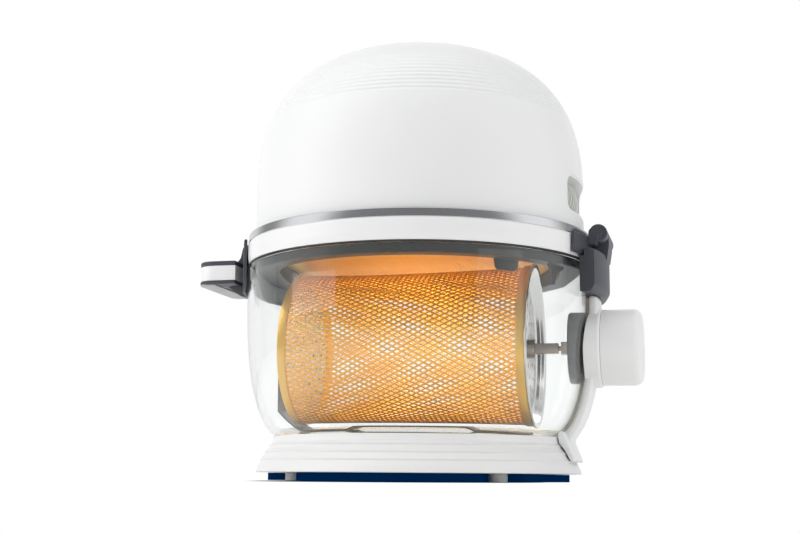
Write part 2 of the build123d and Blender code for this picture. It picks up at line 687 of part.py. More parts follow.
def make_handle():
    """Plate that hugs the bowl, the lower and upper grip shells and the pale insert between them."""
    inner = rim_radius + leaf_gap
    plate = Rot(0, 0, 180) * spun_points([(inner, plate_low), (inner + plate_wall, plate_low),
                                          (inner + plate_wall, pivot_z - 2), (inner + plate_wall - 1, pivot_z),
                                          (inner, pivot_z)], 2 * plate_angle)
    side = (rim_radius + plate_wall) * math.sin(math.radians(plate_angle))
    tall = pivot_z - plate_low
    frame = Plane.YZ * RectangleRounded(2 * side, 2 * tall, plate_corner)
    keep = Pos(-half_length, 0, plate_low + tall) * extrude(frame, half_length)
    save(plate & keep, "handle_plate")
    seam = bolt_gap / 2
    root = handle_root + 0.1
    out = handle_root + block_reach
    split = handle_top - handle_skin
    curve = ThreePointArc((-root - 1.6, pivot_z), (-root - 4.2, handle_top + 4), (-out + 2, handle_top))
    rest = Polyline((-out + 2, handle_top), (-out, handle_top - 1), (-out, split), (-root, split), (-root, pivot_z),
                    (-root - 1.6, pivot_z))
    shoulder = extrude(Plane.XZ * make_face([curve.edge(), *rest.edges()]), block_half, both=True)
    upper = grip_outline(split, handle_top) + (shoulder - disc(handle_root, cut_low, cut_high))
    lower = grip_outline(handle_low, handle_low + handle_skin)
    under = [(-root, split - seam), (-out, split - seam), (-out, handle_low + 1), (-root - 1, plate_low + 0.6),
             (-root, plate_low + 0.6)]
    brace = extrude(Plane.XZ * make_face(Polyline(*under, close=True)), block_half, both=True)
    lower = lower + (brace - disc(handle_root, cut_low, cut_high))
    insert = grip_outline(handle_low + handle_skin + seam, split - seam, 0.4)
    insert = insert - block(-out - seam, 0, -block_half - seam, block_half + seam, cut_low, cut_high)
    screw_x = out + 5.0
    screws = []
    for side in (-1, 1):
        hole = upright(screw_radius + bolt_gap, -screw_x, side * 20, handle_low - 1, handle_top - 2)
        sunk = upright(screw_head_radius + bolt_gap, -screw_x, side * 20, handle_low - 1, handle_low + screw_head_height)
        lower = lower - hole - sunk
        insert = insert - hole
        upper = upper - hole
        head = upright(screw_head_radius, -screw_x, side * 20, handle_low + 0.1, handle_low + screw_head_height)
        screws.append(head + upright(screw_radius, -screw_x, side * 20, handle_low + screw_head_height, handle_top - 2.5))
    save(upper, "handle_upper")
    save(lower, "handle_lower")
    save(insert, "handle_insert")
    save(Compound(children=screws), "handle_screws")


make_base()
make_bowl()
make_arm()
mouth = make_drive()
make_hinge()
make_drum(mouth)
make_stand()
make_dome()
make_top()
make_collar()
lead_places = make_heater()
make_air_system(lead_places)
make_handle()
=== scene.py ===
import json
import math

import bmesh
import bpy
from mathutils import Matrix, Vector
from mathutils.geometry import interpolate_bezier


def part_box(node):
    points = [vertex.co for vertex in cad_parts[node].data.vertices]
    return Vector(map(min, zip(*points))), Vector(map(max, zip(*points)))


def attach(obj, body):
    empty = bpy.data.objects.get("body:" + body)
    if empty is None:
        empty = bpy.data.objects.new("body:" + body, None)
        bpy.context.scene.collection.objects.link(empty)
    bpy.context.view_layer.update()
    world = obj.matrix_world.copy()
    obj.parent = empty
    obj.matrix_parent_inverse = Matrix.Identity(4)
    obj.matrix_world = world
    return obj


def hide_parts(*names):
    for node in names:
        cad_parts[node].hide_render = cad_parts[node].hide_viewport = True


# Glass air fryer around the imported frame. Outlines are in millimetres and made metres by MM.
# The front is -Y, the grip is on -X, and the drive, the hinge and the vent are on +X.

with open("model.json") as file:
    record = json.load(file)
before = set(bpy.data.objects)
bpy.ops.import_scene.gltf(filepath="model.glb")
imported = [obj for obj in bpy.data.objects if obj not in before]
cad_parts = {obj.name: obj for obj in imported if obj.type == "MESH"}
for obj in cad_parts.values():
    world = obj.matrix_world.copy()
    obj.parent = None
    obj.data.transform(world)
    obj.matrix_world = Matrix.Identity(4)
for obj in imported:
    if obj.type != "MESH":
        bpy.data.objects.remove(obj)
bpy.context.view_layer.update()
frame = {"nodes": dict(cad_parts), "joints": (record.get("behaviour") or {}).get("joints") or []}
nodes = frame["nodes"]

MM = 0.001
FULL_TURN = 2 * math.pi
STEPS = 180
FINE_STEPS = 256

# Sizes that the frame gives
rim_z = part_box("bowl")[1].z / MM
rim_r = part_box("bowl")[1].y / MM
bowl_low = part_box("bowl")[0].z / MM
drum_low, drum_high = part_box("drum_mesh")
drum_z = (drum_low.z + drum_high.z) / 2 / MM
drum_r = (drum_high.z - drum_low.z) / 2 / MM
drum_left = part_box("drum_band_left")[0].x / MM
drum_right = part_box("drum_band_right")[1].x / MM
collar_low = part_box("head_collar")[0].z / MM
collar_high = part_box("head_collar")[1].z / MM
trim_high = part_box("trim_ring")[1].z / MM
head_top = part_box("dome_shell")[1].z / MM
half_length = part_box("drive_housing")[1].x / MM
pivot_x = frame["joints"][0]["pos_m"][0] / MM
pivot_z = frame["joints"][0]["pos_m"][2] / MM

# Bowl: wall, straight part under the rim, and the pulls of the curve down to its floor
wall = 4.5
bowl_draft = 0.8
bowl_straight = 23.0
floor_inset = 40.0
side_pull = 70.0
floor_pull = 28.0
curve_steps = 40

# Dome: one power curve from its foot
dome_foot = 211.6
dome_height = 114.0
dome_radius = 124.0
dome_power = 2.575
dome_wall = 3.2

# Outlet window in the dome
vent_inset = 2.5
vent_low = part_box("vent_grille")[0].z / MM + vent_inset
vent_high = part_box("vent_grille")[1].z / MM - vent_inset
vent_half = 40.0
vent_corner = 8.0

# Feet
foot_x = 72.0
foot_y = 73.0
foot_r = 6.5
foot_high = 6.2

# Arm, drive and hinge
arm_gap = 1.2
arm_back = 7.2
axle_hole = 15.8
housing_hole = 28.4
housing_r = 27.5
housing_wall = 2.5
knuckle_r = 6.5
knuckle_half = 14.0

# Guard's tab and leg: angles from +X
tab_turn = -43.0
leg_turn = -20.0

# Net: thickness of the sheet, diamonds round the drum, and each diamond's length
net_thick = 0.7
net_inset = 0.45
net_around = 92
net_long = 7.4
net_strand = 1.1

# Stage: painted contact shade under the base, its painted edges on the floor, and the room's light
shadow_dark = 0.116
shadow_end = 0.130
shade_radius = 111.0
shade_low = 0.3
shade_high = 5.6
foot_circle = 102.5
foot_room = 14.0
room_level = 0.70
navy = (0.0, 0.010, 0.045)
navy_light = (0.0, 0.014, 0.055)

PLANES = {
    "XY": Matrix.Identity(3),
    "XZ": Matrix(((1, 0, 0), (0, 0, 1), (0, 1, 0))),
    "YZ": Matrix(((0, 0, 1), (1, 0, 0), (0, 1, 0))),
}


# Meshes

def rounded(corners, steps=6):
    """Closed outline from (a, b, radius) corners, with each radius as an arc."""
    nearly_straight, room_share = math.radians(88), 0.49
    points = []
    for i, (a, b, radius) in enumerate(corners):
        corner = Vector((a, b, 0))
        last, following = corners[i - 1], corners[(i + 1) % len(corners)]
        before = (Vector((last[0], last[1], 0)) - corner).normalized()
        after = (Vector((following[0], following[1], 0)) - corner).normalized()
        half = before.angle(after) / 2 if radius > 0 else math.pi
        if half > nearly_straight:
            points.append((a, b))
            continue
        room = room_share * min(math.dist(last[:2], (a, b)), math.dist(following[:2], (a, b)))
        radius = min(radius, room * math.tan(half))
        centre = corner + (before + after).normalized() * radius / math.sin(half)
        start = corner + before * radius / math.tan(half) - centre
        end = corner + after * radius / math.tan(half) - centre
        for k in range(steps + 1):
            point = centre + start.slerp(end, k / steps).normalized() * radius
            points.append((point.x, point.y))
    return points


def heights(start, stop, step):
    """Heights from start up to stop, without stop."""
    return [start + i * step for i in range(math.ceil((stop - start) / step))]


def rotated(bm, degrees, axis):
    """The same mesh turned about an axis through the origin."""
    turn = Matrix.Rotation(math.radians(degrees), 3, axis)
    bmesh.ops.rotate(bm, verts=bm.verts, cent=(0, 0, 0), matrix=turn)
    return bm


def moved(bm, x=0.0, y=0.0, z=0.0):
    """The same mesh moved by millimetres."""
    bmesh.ops.translate(bm, verts=bm.verts, vec=(x * MM, y * MM, z * MM))
    return bm


def flipped(bm):
    """The same mesh with its faces turned inward, so that it stands for a hollow."""
    bmesh.ops.reverse_faces(bm, faces=bm.faces)
    return bm


def turned(outline, steps=STEPS, arc=360.0):
    """Outline of (radius, height) turned about Z, in whole or as a closed sector centred on +X."""
    bm = bmesh.new()
    verts = [bm.verts.new((radius * MM, 0, height * MM)) for radius, height in outline]
    edges = [bm.edges.new(pair) for pair in zip(verts, verts[1:] + verts[:1])]
    whole = arc >= 360.0
    ends = [] if whole else [bm.faces.new(verts)]
    bmesh.ops.spin(bm, geom=verts + edges + ends, cent=(0, 0, 0), axis=(0, 0, 1), dvec=(0, 0, 0),
                   angle=math.radians(arc), steps=steps, use_merge=whole, use_duplicate=False)
    bmesh.ops.remove_doubles(bm, verts=bm.verts, dist=1e-6)
    bmesh.ops.dissolve_degenerate(bm, edges=bm.edges, dist=1e-7)
    if not whole:
        rotated(bm, -arc / 2, "Z")
    bmesh.ops.recalc_face_normals(bm, faces=bm.faces)
    return bm


def onto_x(bm):
    """The same mesh with its Z along +X, at the drum's height."""
    return moved(rotated(bm, 90.0, "Y"), z=drum_z)


def prism(outline, low, high, plane="XY"):
    """Outline pushed from low to high: XY along Z, XZ along Y, YZ along X."""
    bm = bmesh.new()
    verts = [bm.verts.new((a * MM, b * MM, low * MM)) for a, b in outline]
    face = bm.faces.new(verts)
    pushed = bmesh.ops.extrude_face_region(bm, geom=[face])["geom"]
    far = [v for v in pushed if isinstance(v, bmesh.types.BMVert)]
    bmesh.ops.translate(bm, verts=far, vec=(0, 0, (high - low) * MM))
    bmesh.ops.transform(bm, matrix=PLANES[plane].to_4x4(), verts=bm.verts)
    bmesh.ops.recalc_face_normals(bm, faces=bm.faces)
    return bm


def bolt(radius, low, high, x=0.0, y=0.0, steps=32, edge=0.0):
    """Upright round pin with softened ends."""
    outline = rounded([(0, low, 0), (radius, low, edge), (radius, high, edge), (0, high, 0)], 3)
    return moved(turned(outline, steps), x, y)


def round_cut(radius, low, high, inner=0.0):
    """Round cutter along X, at the drum's height."""
    return onto_x(turned([(inner, low), (radius, low), (radius, high), (inner, high)], 64))


def joined(*meshes):
    """One bmesh from several."""
    bm = meshes[0]
    for other in meshes[1:]:
        carrier = bpy.data.meshes.new("carrier")
        other.to_mesh(carrier)
        bm.from_mesh(carrier)
        bpy.data.meshes.remove(carrier)
        other.free()
    return bm


def spread(bm, count, start=0.0):
    """Copies of a mesh spaced evenly about Z."""
    first = bm.verts[:] + bm.edges[:] + bm.faces[:]
    bmesh.ops.rotate(bm, verts=bm.verts, cent=(0, 0, 0), matrix=Matrix.Rotation(start, 3, "Z"))
    for i in range(1, count):
        copy = bmesh.ops.duplicate(bm, geom=first)["geom"]
        verts = [v for v in copy if isinstance(v, bmesh.types.BMVert)]
        turn = Matrix.Rotation(FULL_TURN * i / count, 3, "Z")
        bmesh.ops.rotate(bm, verts=verts, cent=(0, 0, 0), matrix=turn)
    return bm


def placed(name, bm):
    """Object at the origin with a bmesh as its mesh."""
    mesh = bpy.data.meshes.new(name)
    bm.to_mesh(mesh)
    bm.free()
    obj = bpy.data.objects.new(name, mesh)
    bpy.context.scene.collection.objects.link(obj)
    return obj


def piece(name, bm, body, material, replaces=(), bevel=0.0, sharp=40.0):
    """Makes the object, sets its finish and ties it to its body."""
    obj = placed(name, bm)
    obj.data.materials.append(material)
    for polygon in obj.data.polygons:
        polygon.use_smooth = True
    obj.data.set_sharp_from_angle(angle=math.radians(sharp))
    if bevel:
        cut = obj.modifiers.new("edges", "BEVEL")
        cut.width = bevel * MM
        cut.segments = 3
        cut.limit_method = "ANGLE"
        cut.angle_limit = math.radians(35)
        cut.harden_normals = True
    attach(obj, body)
    if replaces:
        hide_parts(*replaces)
    return obj


def combined(obj, cutter, operation):
    """Mesh that an object and a bmesh give together, with the bmesh used up."""
    tool = placed("cutter", cutter)
    cut = obj.modifiers.new("cut", "BOOLEAN")
    cut.operation = operation
    cut.solver = "EXACT"
    cut.object = tool
    view = bpy.context.evaluated_depsgraph_get()
    result = bpy.data.meshes.new_from_object(obj.evaluated_get(view))
    obj.modifiers.remove(cut)
    used = tool.data
    bpy.data.objects.remove(tool)
    bpy.data.meshes.remove(used)
    return result


def carve(obj, cutter, sharp=40.0):
    """Cuts a bmesh out of a finished piece and keeps the result as its mesh."""
    obj.data = combined(obj, cutter, "DIFFERENCE")
    obj.data.set_sharp_from_angle(angle=math.radians(sharp))


def common(first, second):
    """Smooth bmesh of what two bmeshes share."""
    holder = placed("holder", first)
    result = combined(holder, second, "INTERSECT")
    shared = bmesh.new()
    shared.from_mesh(result)
    for face in shared.faces:
        face.smooth = True
    bpy.data.objects.remove(holder)
    bpy.data.meshes.remove(result)
    return shared


def thicken(obj, thickness):
    """Gives a sheet its thickness, half to each side."""
    thick = obj.modifiers.new("thickness", "SOLIDIFY")
    thick.thickness = thickness * MM
    thick.offset = 0.0


# Node graphs

def tune(shade, **values):
    """Sets a node's inputs by name, with _ for each space."""
    for key, value in values.items():
        shade.inputs[key.replace("_", " ")].default_value = value
    return shade


def node(tree, kind, **values):
    """Adds a node, with its input values by name."""
    return tune(tree.nodes.new(kind), **values)


def feed(tree, added, *sources):
    """Gives a node's inputs, in their order, sockets or constant values."""
    for target, source in zip(added.inputs, sources):
        if isinstance(source, bpy.types.NodeSocket):
            tree.links.new(source, target)
        else:
            target.default_value = source
    return added


def maths(tree, operation, *sources):
    """Math on sockets or numbers."""
    added = node(tree, "ShaderNodeMath")
    added.operation = operation
    return feed(tree, added, *sources).outputs[0]


def vector_maths(tree, operation, result, *sources):
    """Vector Math on sockets or constant vectors, giving its Vector or its Value."""
    added = node(tree, "ShaderNodeVectorMath")
    added.operation = operation
    return feed(tree, added, *sources).outputs[result]


def mixed(tree, share, first, second):
    """Shader between two, by a share."""
    return feed(tree, node(tree, "ShaderNodeMixShader"), share, first, second).outputs[0]


def blend_colours(tree, share, first, second):
    """Colour between two, by a share."""
    mix = node(tree, "ShaderNodeMix")
    mix.data_type = "RGBA"
    colours = [socket for socket in mix.inputs if socket.type == "RGBA"]
    colours[0].default_value = (*first, 1)
    colours[1].default_value = (*second, 1)
    tree.links.new(share, mix.inputs[0])
    return next(socket for socket in mix.outputs if socket.type == "RGBA")


def level(tree, source, low, high, first=0.0, last=1.0, smooth=False):
    """Number between first and last mapped to between low and high."""
    span = node(tree, "ShaderNodeMapRange", From_Min=first, From_Max=last, To_Min=low, To_Max=high)
    if smooth:
        span.interpolation_type = "SMOOTHSTEP"
    tree.links.new(source, span.inputs["Value"])
    return span.outputs["Result"]


def place_of(tree):
    """The piece's own coordinates."""
    return node(tree, "ShaderNodeTexCoord").outputs["Object"]


def ring_place(tree):
    """Coordinates of radius and height only, so that a pattern runs round the Z axis."""
    parts = feed(tree, node(tree, "ShaderNodeSeparateXYZ"), place_of(tree)).outputs
    flat = feed(tree, node(tree, "ShaderNodeCombineXYZ"), parts["X"], parts["Y"]).outputs[0]
    radius = vector_maths(tree, "LENGTH", "Value", flat)
    return feed(tree, node(tree, "ShaderNodeCombineXYZ"), radius, parts["Z"]).outputs[0]


def clouds(tree, place, scale, detail=3.0):
    """Soft noise over a place."""
    noise = node(tree, "ShaderNodeTexNoise", Scale=scale, Detail=detail)
    tree.links.new(place, noise.inputs["Vector"])
    return noise.outputs["Fac"]


def relief(tree, source, strength, depth):
    """Bump from a number."""
    bump = node(tree, "ShaderNodeBump", Strength=strength, Distance=depth)
    tree.links.new(source, bump.inputs["Height"])
    return bump.outputs["Normal"]


# Materials

def shader(name):
    """New node material, its tree and its Principled node."""
    made = bpy.data.materials.new(name)
    made.use_nodes = True
    return made, made.node_tree, made.node_tree.nodes["Principled BSDF"]


def show(tree, surface):
    """Makes a shader the surface of its material or world."""
    output = tree.nodes.get("Material Output") or tree.nodes["World Output"]
    tree.links.new(surface, output.inputs["Surface"])


def plastic(name, first, second, rough, grain=1500.0, depth=0.00003, coat=0.0):
    """Moulded plastic: faint colour drift, uneven gloss and a fine spark-eroded grain."""
    made, tree, base = shader(name)
    place = place_of(tree)
    drift = clouds(tree, place, 18.0)
    fine = clouds(tree, place, grain, 2.0)
    tree.links.new(blend_colours(tree, drift, first, second), base.inputs["Base Color"])
    tree.links.new(level(tree, drift, *rough), base.inputs["Roughness"])
    tree.links.new(relief(tree, fine, 0.25, depth), base.inputs["Normal"])
    tune(base, Coat_Weight=coat, Coat_Roughness=0.12)
    return made


def metal(name, first, second, rough, scale=400.0, ringed=False, depth=0.00002, strength=0.3, bare=1.0):
    """Bare metal with fine drawing lines, round the Z axis where ringed."""
    made, tree, base = shader(name)
    lines = clouds(tree, ring_place(tree) if ringed else place_of(tree), scale, 4.0)
    drift = clouds(tree, place_of(tree), 30.0)
    tree.links.new(blend_colours(tree, drift, first, second), base.inputs["Base Color"])
    tree.links.new(level(tree, lines, *rough), base.inputs["Roughness"])
    tree.links.new(relief(tree, lines, strength, depth), base.inputs["Normal"])
    tune(base, Metallic=bare)
    return made


def clear_glass(name):
    """Clear glass with a slight grey-green body and the faintest waviness; lamps pass through."""
    made, tree, base = shader(name)
    wave = clouds(tree, place_of(tree), 14.0, 1.0)
    body = blend_colours(tree, wave, (0.965, 0.985, 0.978), (0.985, 0.995, 0.992))
    tree.links.new(body, base.inputs["Base Color"])
    tree.links.new(relief(tree, wave, 0.10, 0.0004), base.inputs["Normal"])
    tune(base, Roughness=0.0, Specular_IOR_Level=0.35, IOR=1.47, Transmission_Weight=1.0)
    passing = node(tree, "ShaderNodeBsdfTransparent", Color=(0.96, 0.98, 0.97, 1))
    path = node(tree, "ShaderNodeLightPath").outputs
    lamplight = maths(tree, "MAXIMUM", path["Is Shadow Ray"], path["Is Diffuse Ray"])
    show(tree, mixed(tree, lamplight, base.outputs[0], passing.outputs[0]))
    return made


WHITE = plastic("white_shell", (0.84, 0.845, 0.85), (0.87, 0.87, 0.872), (0.36, 0.44), coat=0.12)
COLLAR_WHITE = plastic("white_collar", (0.85, 0.85, 0.85), (0.88, 0.88, 0.88), (0.28, 0.36), coat=0.2)
PALE = plastic("pale_underside", (0.42, 0.42, 0.43), (0.47, 0.47, 0.48), (0.4, 0.5))
SLATE = plastic("slate_plastic", (0.050, 0.053, 0.066), (0.068, 0.071, 0.086), (0.38, 0.52),
                grain=1100.0, depth=0.00006)
VENT = plastic("vent_panel", (0.60, 0.62, 0.57), (0.68, 0.69, 0.64), (0.45, 0.6))
RUBBER = plastic("foot_rubber", (0.66, 0.66, 0.67), (0.74, 0.74, 0.75), (0.6, 0.75))
SILICONE = plastic("seal_silicone", (0.030, 0.034, 0.038), (0.045, 0.05, 0.054), (0.5, 0.62))
BOARD = plastic("board_laminate", (0.01, 0.10, 0.03), (0.02, 0.14, 0.05), (0.35, 0.5))
TOUCH = plastic("touch_glass", (0.008, 0.008, 0.010), (0.014, 0.014, 0.017), (0.04, 0.09), depth=0.0,
                coat=1.0)
TRIM = metal("trim_brushed", (0.66, 0.67, 0.69), (0.76, 0.77, 0.79), (0.14, 0.24), 900.0, ringed=True,
             strength=0.15)
STEEL = metal("drawn_steel", (0.55, 0.55, 0.55), (0.66, 0.66, 0.66), (0.16, 0.32))
SPUN = metal("spun_steel", (0.60, 0.60, 0.60), (0.72, 0.71, 0.70), (0.10, 0.26), 60.0, strength=0.15,
             depth=0.0003)
GOLD = metal("gold_net", (0.90, 0.50, 0.08), (1.0, 0.64, 0.16), (0.28, 0.44), 500.0, bare=0.55)
BRASS = metal("bronze_bush", (0.50, 0.33, 0.16), (0.60, 0.41, 0.22), (0.3, 0.45))
# Stand steel darkened with painted shade: its dark colour is the look of the stand in shadow behind the
# glass.
SHADED_STAND = metal("stand_steel_painted_shade", (0.10, 0.09, 0.085), (0.17, 0.14, 0.12), (0.30, 0.48))
SPIT = metal("spit_steel", (0.36, 0.30, 0.24), (0.50, 0.44, 0.38), (0.25, 0.4))
COAT = plastic("dark_coat", (0.008, 0.010, 0.011), (0.014, 0.017, 0.018), (0.38, 0.48))
HEATER = metal("heater_tube", (0.16, 0.14, 0.13), (0.26, 0.22, 0.19), (0.4, 0.6), 200.0)
GLASS = clear_glass("bowl_glass")


# Outlines shared by several pieces

def bowl_side(offset):
    """Right side of the bowl, from the rim down to the floor, moved out by an offset."""
    below = Vector((rim_r - bowl_draft + offset, rim_z - bowl_straight))
    floor = Vector((rim_r - floor_inset, bowl_low - offset))
    curve = interpolate_bezier(below, below - Vector((0, side_pull)),
                               floor + Vector((floor_pull + offset, 0)), floor, curve_steps)
    return [(rim_r + offset, rim_z)] + [(p.x, p.y) for p in curve]


def dome_edge(z):
    """Outer radius of the dome at a height."""
    rise = max(0.0, (z - dome_foot) / dome_height)
    return dome_radius * (1 - rise ** dome_power) ** (1 / dome_power)


def vent_outline(margin):
    """Outline of the outlet window, smaller by a margin all round."""
    half, corner = vent_half - margin, vent_corner - margin
    low, high = vent_low + margin, vent_high - margin
    corners = [(-half, low, corner), (half, low, corner), (half, high, corner), (-half, high, corner)]
    return rounded(corners, 8)


# Base

def make_base():
    """Skirted shell with three soft grooves, and four feet."""
    skirt = [(107.5, 32.0), (108.4, 27.5), (112.6, 22.0), (116.4, 15.6), (119.0, 9.6), (120.0, 6.0)]
    groove_heights = (24.6, 19.4, 14.2)
    groove = ((0.8, 0.0), (0.4, 0.35), (0.0, 0.45), (-0.4, 0.35), (-0.8, 0.0))
    profile = [(104.5, 31.0), (105.3, 32.0), (107.0, 32.0)]
    for (upper_r, upper_z), (lower_r, lower_z) in zip(skirt, skirt[1:]):
        profile.append((upper_r, upper_z - 0.4))
        for z in groove_heights:
            if lower_z < z < upper_z:
                r = upper_r + (lower_r - upper_r) * (upper_z - z) / (upper_z - lower_z)
                profile += [(r - depth, z + away) for away, depth in groove]
    profile += [(119.9, 6.6), (119.5, 6.05), (117.2, 6.05), (113.2, 14.0), (109.0, 22.4), (60, 22.4),
                (60, 25.4), (104.5, 25.4)]
    piece("base_shell_skin", turned(profile), "base", WHITE, ["base_shell"], sharp=38)
    feet = [bolt(foot_r, 0, foot_high, x, y, 40, 0.9) for x in (-foot_x, foot_x) for y in (-foot_y, foot_y)]
    piece("foot_pads", joined(*feet), "base", RUBBER, ["feet"])


def make_bowl():
    """Glass bowl with a rounded rim and the hole that the drive goes through."""
    lip_soft, lip_deep = 2.1, 8.0
    inner_r = rim_r - wall
    lip = rounded([(inner_r, rim_z, lip_soft), (rim_r, rim_z, lip_soft), (rim_r, rim_z - lip_deep, 0),
                   (inner_r, rim_z - lip_deep, 0)])[:-2]
    outside, inside = bowl_side(0), bowl_side(-wall)
    profile = lip + outside[1:] + [(0, bowl_low), (0, bowl_low + wall)] + inside[:0:-1]
    glass = piece("bowl_glass", turned(profile, 240), "base", GLASS, ["bowl"], sharp=60)
    carve(glass, round_cut(axle_hole, 100, 150), 60)


def make_arm():
    """Arm up the right side, its foot over the skirt, and the round pad that the drive sits on."""
    low, high, top = 38, 131, 133.0
    back = [p for p in bowl_side(arm_back) if low < p[1] < high]
    face = [p for p in bowl_side(arm_gap) if low < p[1] < high]
    foot = [(115.4, 30.0), (121.4, 14.4), (117.9, 14.4), (113.6, 22.4), (109.2, 27.7), (108.3, 33.0)]
    outline = [(face[0][0], top), (back[0][0] - 0.4, top)] + back + foot + face[::-1]
    strap = turned(outline, 14, 15.4)
    skirt = turned([(108.3, 36.0), (112.4, 36.0), (114.6, 30.0), (120.4, 17.0), (121.0, 14.6), (117.9, 14.6),
                    (113.6, 22.4), (109.2, 27.7)], 24, 24.0)
    piece("arm_skirt", skirt, "base", WHITE, bevel=1.2, sharp=30)
    arm = piece("arm_strap", strap, "base", WHITE, ["drive_arm"], bevel=1.6, sharp=30)
    carve(arm, round_cut(housing_hole, 100, 150))
    pad_r, pad_low, pad_high = 29.0, 125.6, 137.2
    pad = onto_x(turned(rounded([(axle_hole, pad_low, 0), (pad_r, pad_low, 0), (pad_r, pad_high, 2.0),
                                 (axle_hole, pad_high, 0.5)]), 96))
    pad_piece = piece("arm_pad", pad, "base", WHITE, sharp=30)
    carve(pad_piece, turned(bowl_side(arm_gap) + [(0, bowl_low - arm_gap), (0, rim_z)], 200), 30)


def make_drive():
    """Housing outside the arm, and the dark disc inside the glass, cut to the bowl's curve."""
    start, inner_r = 137.4, housing_r - housing_wall
    shell = rounded([(inner_r, start, 0), (housing_r, start, 0), (housing_r, half_length, 6.0),
                     (0, half_length, 0), (0, half_length - housing_wall, 0),
                     (inner_r, half_length - housing_wall, 4.0)])
    piece("drive_housing_shell", onto_x(turned(shell, 96)), "base", WHITE, ["drive_housing"],
          sharp=30)
    bore, disc_r, neck_r, face, shoulder, end = 6.1, 26.0, 15.4, 112.4, 124.5, 136.0
    disc = rounded([(bore, face, 0), (disc_r, face, 2.0), (disc_r, shoulder, 0), (neck_r, shoulder, 0),
                    (neck_r, end, 0), (bore, end, 0)])
    cover = piece("drive_cover_disc", onto_x(turned(disc, 96)), "base", SLATE,
                  ["drive_cover"], sharp=30)
    side = bowl_side(-wall - 0.3)
    outside = turned(side + [(90, 0), (200, 0), (200, 200), (side[0][0], 200)], 200)
    carve(cover, common(outside, round_cut(60, 100, 160, 15.6)), 30)


# Hinge

def make_hinge():
    """Bracket with the middle knuckle on the base, and leaf with the outer two on the head."""
    bracket_arc, leaf_arc = 35.0, 45.0
    block = rounded([(131.2, 133.2, 1.0), (139.5, 133.2, 2.5), (142.5, 138.0, 4.0), (142.5, 164.0, 3.0),
                     (134.6, 164.0, 0.6), (134.6, 159.0, 0.3), (131.2, 159.0, 0.3)])
    neck = rounded([(134.6, 160.0, 0), (142.5, 160.0, 0), (144.0, 170.0, 3), (144.0, 177.0, 0),
                    (134.6, 177.0, 0)])
    knuckle = rotated(bolt(knuckle_r, -knuckle_half, knuckle_half, steps=48, edge=0.8), 90.0, "X")
    bracket = joined(turned(block, 36, bracket_arc), prism(neck, -knuckle_half, knuckle_half, "XZ"),
                     moved(knuckle, pivot_x, 0, pivot_z))
    piece("hinge_block", bracket, "base", SLATE, ["hinge_bracket"], bevel=0.7, sharp=35)
    plate = rounded([(130.6, 160.2, 0), (133.2, 160.2, 1.0), (133.2, 175.0, 1.0), (130.6, 175.0, 0)])
    web = rounded([(129.5, 168.0, 0), (136.0, 168.5, 2), (137.5, 172.0, 0), (137.5, 183.0, 0),
                   (130.9, 179.5, 2)])
    near, far, dish_r, dish = knuckle_half + 0.4, 2 * knuckle_half, 4.2, 1.2
    parts = [turned(plate, 40, leaf_arc)]
    for side in (-1, 1):
        low, high = sorted((side * near, side * far))
        low_dish, high_dish = (dish, 0) if side < 0 else (0, dish)
        roll = turned(rounded([(0, low, 0), (dish_r, low + low_dish, 0), (knuckle_r, low, 0.8),
                               (knuckle_r, high, 0.8), (dish_r, high - high_dish, 0), (0, high, 0)], 4), 48)
        parts += [prism(web, low, high, "XZ"), moved(rotated(roll, -90.0, "X"), pivot_x, 0, pivot_z)]
    piece("hinge_leaf_plate", joined(*parts), "head", SLATE, ["hinge_leaf"], bevel=0.6,
          sharp=35)


# Grip

def grip_flat(low, high, inset, soft, root=-133.6):
    """Flat of the grip from the collar outwards, with its far corners rounded and its rims softened."""
    half, end, corner = 40 - inset, -half_length + inset, 14
    plan = rounded([(root, -half, 0), (end, -half, corner), (end, half, corner), (root, half, 0)], 10)
    bm = prism(plan, low, high)
    steep = 1.2
    rims = [e for e in bm.edges if abs(e.calc_face_angle(0)) > steep and e.verts[0].co.z == e.verts[1].co.z]
    bmesh.ops.bevel(bm, geom=rims, offset=soft * MM, segments=4, profile=0.5, affect="EDGES", material=-1)
    return bm


